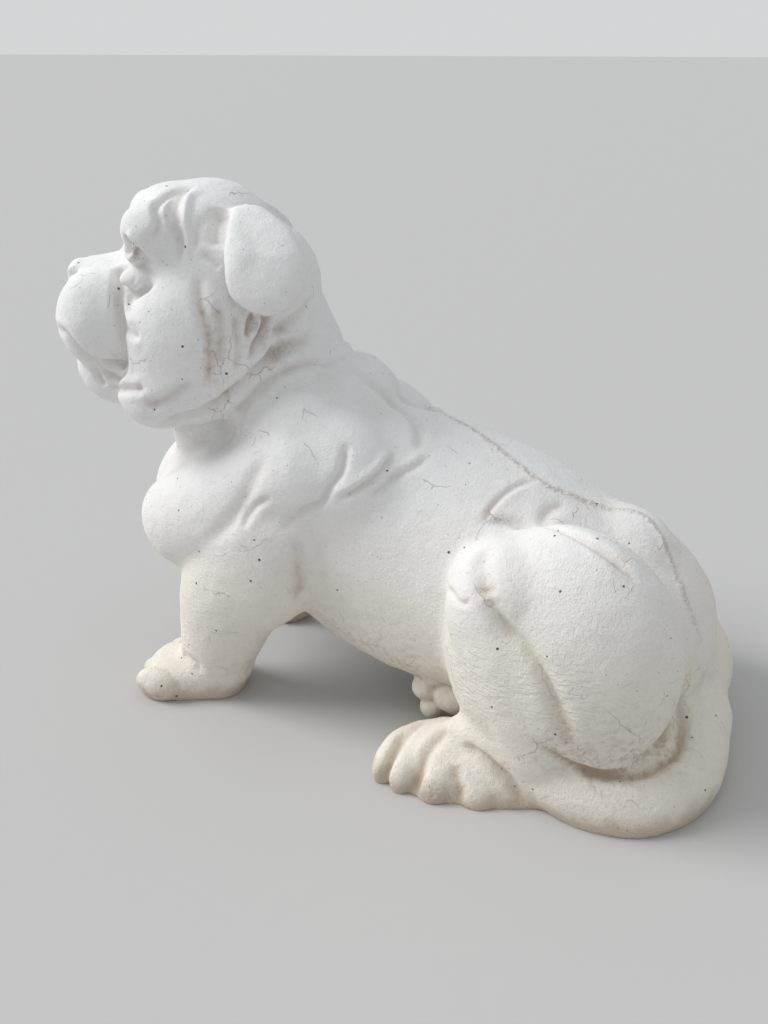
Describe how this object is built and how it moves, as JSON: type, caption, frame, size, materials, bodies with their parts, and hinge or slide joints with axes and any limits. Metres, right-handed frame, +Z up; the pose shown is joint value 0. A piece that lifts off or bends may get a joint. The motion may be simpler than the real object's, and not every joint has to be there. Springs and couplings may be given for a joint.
{
  "type": "bulldog garden statue",
  "caption": "Sitting bulldog with its head turned and its tail round its haunch, a solid outdoor statue that stands by its own weight.",
  "frame": {"origin": "on the ground under the middle of the dog's bounding box", "axes": "-Y towards the chest and front paws, +X towards the dog's own left, +Z up"},
  "size_m": [0.3081, 0.5885, 0.4543],
  "materials": {
    "cast_concrete": "off-white cast concrete, matt and sandy, with small air holes and brown dirt in the creases"
  },
  "bodies": {
    "root": {"bulldog_statue": "cast_concrete"}
  },
  "joints": []
}
